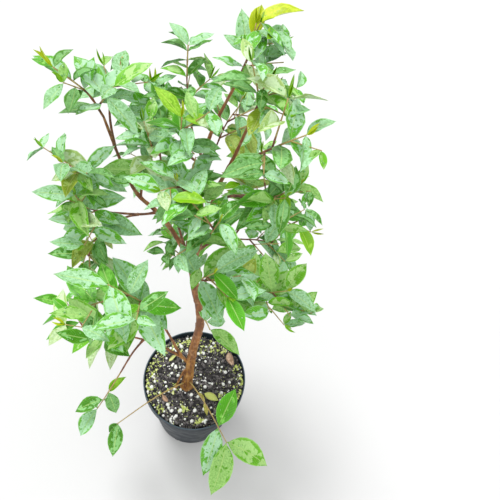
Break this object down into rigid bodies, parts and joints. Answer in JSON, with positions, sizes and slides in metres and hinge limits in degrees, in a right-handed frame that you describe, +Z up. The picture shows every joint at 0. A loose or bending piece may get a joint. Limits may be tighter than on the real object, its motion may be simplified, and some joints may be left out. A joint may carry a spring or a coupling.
{
  "type": "potted jabuticaba",
  "caption": "Young jabuticaba tree with slender forking boughs and masses of opposite pointed leaves, in a round tapered nursery pot filled with potting mix.",
  "frame": {"origin": "middle of the pot's flat underside", "axes": "+Z up along the pot's axis towards the crown; -Y towards the side that the picture was taken from; +X to that viewer's right"},
  "size_m": [0.2935, 0.3276, 0.6399],
  "materials": {
    "pot_plastic": "satin",
    "potting_mix": "matte",
    "trunk_bark": "matte",
    "bough_bark": "matte",
    "foliage": "satin",
    "young_foliage": "satin"
  },
  "bodies": {
    "root": {"pot": "pot_plastic", "soil": "potting_mix", "trunk": "trunk_bark", "leader": "bough_bark", "bough_left": "bough_bark", "bough_right": "bough_bark", "low_bough": "bough_bark", "low_side_bough": "bough_bark", "hanging_limb": "bough_bark", "cross_limb": "bough_bark", "front_limb": "bough_bark", "front_upper_limb": "bough_bark", "middle_limb": "bough_bark", "middle_left_limb": "bough_bark", "upper_left_limb": "bough_bark", "left_upper_limb": "bough_bark", "left_limb": "bough_bark", "left_hanging_limb": "bough_bark", "middle_shoot_limb": "bough_bark", "left_shoot_limb": "bough_bark", "bright_shoot_limb": "bough_bark", "right_upper_limb": "bough_bark", "right_limb": "bough_bark", "right_tip_limb": "bough_bark", "right_lower_limb": "bough_bark", "back_left_limb": "bough_bark", "back_right_limb": "bough_bark", "back_upper_limb": "bough_bark", "back_low_limb": "bough_bark", "leaves_top": "young_foliage", "leaves_upper_right": "foliage", "leaves_right_upper": "foliage", "leaves_right": "foliage", "leaves_right_tip": "foliage", "leaves_right_lower": "foliage", "leaves_front_upper": "foliage", "leaves_front": "foliage", "leaves_middle": "foliage", "leaves_middle_left": "foliage", "leaves_right_low": "foliage", "leaves_on_trunk": "foliage", "leaves_middle_shoot": "foliage", "leaves_left_shoot": "foliage", "leaves_bright_shoot": "young_foliage", "leaves_upper_left": "foliage", "leaves_upper_left_inner": "foliage", "leaves_left_upper": "foliage", "leaves_left": "foliage", "leaves_left_hanging": "foliage", "leaves_low_front": "foliage", "leaves_low_left": "foliage", "leaves_low_hanging": "foliage", "leaves_foot_left": "foliage", "leaves_foot_right": "foliage", "leaves_back_left": "foliage", "leaves_back_right": "foliage", "leaves_back_upper": "foliage", "leaves_back_low": "foliage"}
  },
  "joints": []
}
